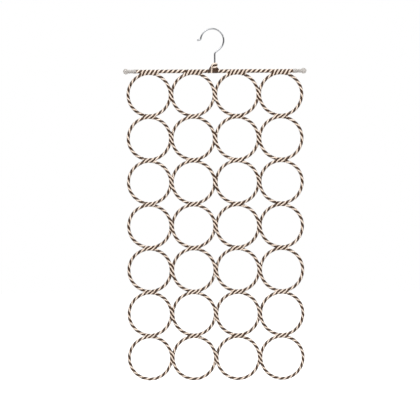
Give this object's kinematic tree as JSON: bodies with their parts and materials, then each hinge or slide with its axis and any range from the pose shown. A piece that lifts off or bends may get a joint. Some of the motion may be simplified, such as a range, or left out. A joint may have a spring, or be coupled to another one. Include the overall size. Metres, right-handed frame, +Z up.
{
  "type": "scarf hanger",
  "caption": "Hanging organiser: a curtain of strip-wound wire rings lashed to each other and to a wound bar under a swivel hook; the rows fold at their lashings.",
  "frame": {"origin": "the rail seat: the highest point inside the hook's arc", "axes": "+Z up, against the pull of the hanger; X along the bar, +X towards the right end cap; the front faces -Y"},
  "size_m": [0.368, 0.0122, 0.7067],
  "materials": {
    "hook_chrome": "polished",
    "bare_steel": "satin",
    "cap_plastic": "gloss",
    "strip_cream": "satin",
    "strip_brown": "satin"
  },
  "bodies": {
    "hook": {"hook": "hook_chrome"},
    "bar": {"hook_socket": "bare_steel", "top_bar": "bare_steel", "end_cap_left": "cap_plastic", "end_cap_right": "cap_plastic", "bar_winding": "strip_cream", "hub_lashing": "strip_brown"},
    "row_1": {"bar_lashing_1": "strip_brown", "bar_lashing_2": "strip_brown", "bar_lashing_3": "strip_brown", "bar_lashing_4": "strip_brown", "ring_wires_row_1": "bare_steel", "side_lashing_row_1": "strip_brown", "row_lashing_1_2": "strip_brown", "ring_cover_1_1": "strip_cream", "ring_cover_1_2": "strip_cream", "ring_cover_1_3": "strip_cream", "ring_cover_1_4": "strip_cream"},
    "row_2": {"ring_wires_row_2": "bare_steel", "side_lashing_row_2": "strip_brown", "row_lashing_2_3": "strip_brown", "ring_cover_2_1": "strip_cream", "ring_cover_2_2": "strip_cream", "ring_cover_2_3": "strip_cream", "ring_cover_2_4": "strip_cream"},
    "row_3": {"ring_wires_row_3": "bare_steel", "side_lashing_row_3": "strip_brown", "row_lashing_3_4": "strip_brown", "ring_cover_3_1": "strip_cream", "ring_cover_3_2": "strip_cream", "ring_cover_3_3": "strip_cream", "ring_cover_3_4": "strip_cream"},
    "row_4": {"ring_wires_row_4": "bare_steel", "side_lashing_row_4": "strip_brown", "row_lashing_4_5": "strip_brown", "ring_cover_4_1": "strip_cream", "ring_cover_4_2": "strip_cream", "ring_cover_4_3": "strip_cream", "ring_cover_4_4": "strip_cream"},
    "row_5": {"ring_wires_row_5": "bare_steel", "side_lashing_row_5": "strip_brown", "row_lashing_5_6": "strip_brown", "ring_cover_5_1": "strip_cream", "ring_cover_5_2": "strip_cream", "ring_cover_5_3": "strip_cream", "ring_cover_5_4": "strip_cream"},
    "row_6": {"ring_wires_row_6": "bare_steel", "side_lashing_row_6": "strip_brown", "row_lashing_6_7": "strip_brown", "ring_cover_6_1": "strip_cream", "ring_cover_6_2": "strip_cream", "ring_cover_6_3": "strip_cream", "ring_cover_6_4": "strip_cream"},
    "row_7": {"ring_wires_row_7": "bare_steel", "side_lashing_row_7": "strip_brown", "ring_cover_7_1": "strip_cream", "ring_cover_7_2": "strip_cream", "ring_cover_7_3": "strip_cream", "ring_cover_7_4": "strip_cream"}
  },
  "joints": [
    {"name": "hook_swivel", "type": "hinge", "parent": "hook", "child": "bar", "pos_m": [0.005, 0, -0.0834], "axis": [0, 0, 1], "continuous": true},
    {"name": "row_1_fold", "type": "hinge", "parent": "bar", "child": "row_1", "pos_m": [0.005, 0, -0.0834], "axis": [1, 0, 0], "range_deg": [-90, 90]},
    {"name": "row_2_fold", "type": "hinge", "parent": "row_1", "child": "row_2", "pos_m": [0.005, 0, -0.1757], "axis": [-1, 0, 0], "range_deg": [-100, 100], "deforming": ["row_lashing_1_2"]},
    {"name": "row_3_fold", "type": "hinge", "parent": "row_2", "child": "row_3", "pos_m": [0.005, 0, -0.2637], "axis": [1, 0, 0], "range_deg": [-100, 100], "deforming": ["row_lashing_2_3"]},
    {"name": "row_4_fold", "type": "hinge", "parent": "row_3", "child": "row_4", "pos_m": [0.005, 0, -0.3517], "axis": [-1, 0, 0], "range_deg": [-100, 100], "deforming": ["row_lashing_3_4"]},
    {"name": "row_5_fold", "type": "hinge", "parent": "row_4", "child": "row_5", "pos_m": [0.005, 0, -0.4397], "axis": [1, 0, 0], "range_deg": [-100, 100], "deforming": ["row_lashing_4_5"]},
    {"name": "row_6_fold", "type": "hinge", "parent": "row_5", "child": "row_6", "pos_m": [0.005, 0, -0.5277], "axis": [-1, 0, 0], "range_deg": [-100, 100], "deforming": ["row_lashing_5_6"]},
    {"name": "row_7_fold", "type": "hinge", "parent": "row_6", "child": "row_7", "pos_m": [0.005, 0, -0.6157], "axis": [1, 0, 0], "range_deg": [-100, 100], "deforming": ["row_lashing_6_7"]}
  ]
}
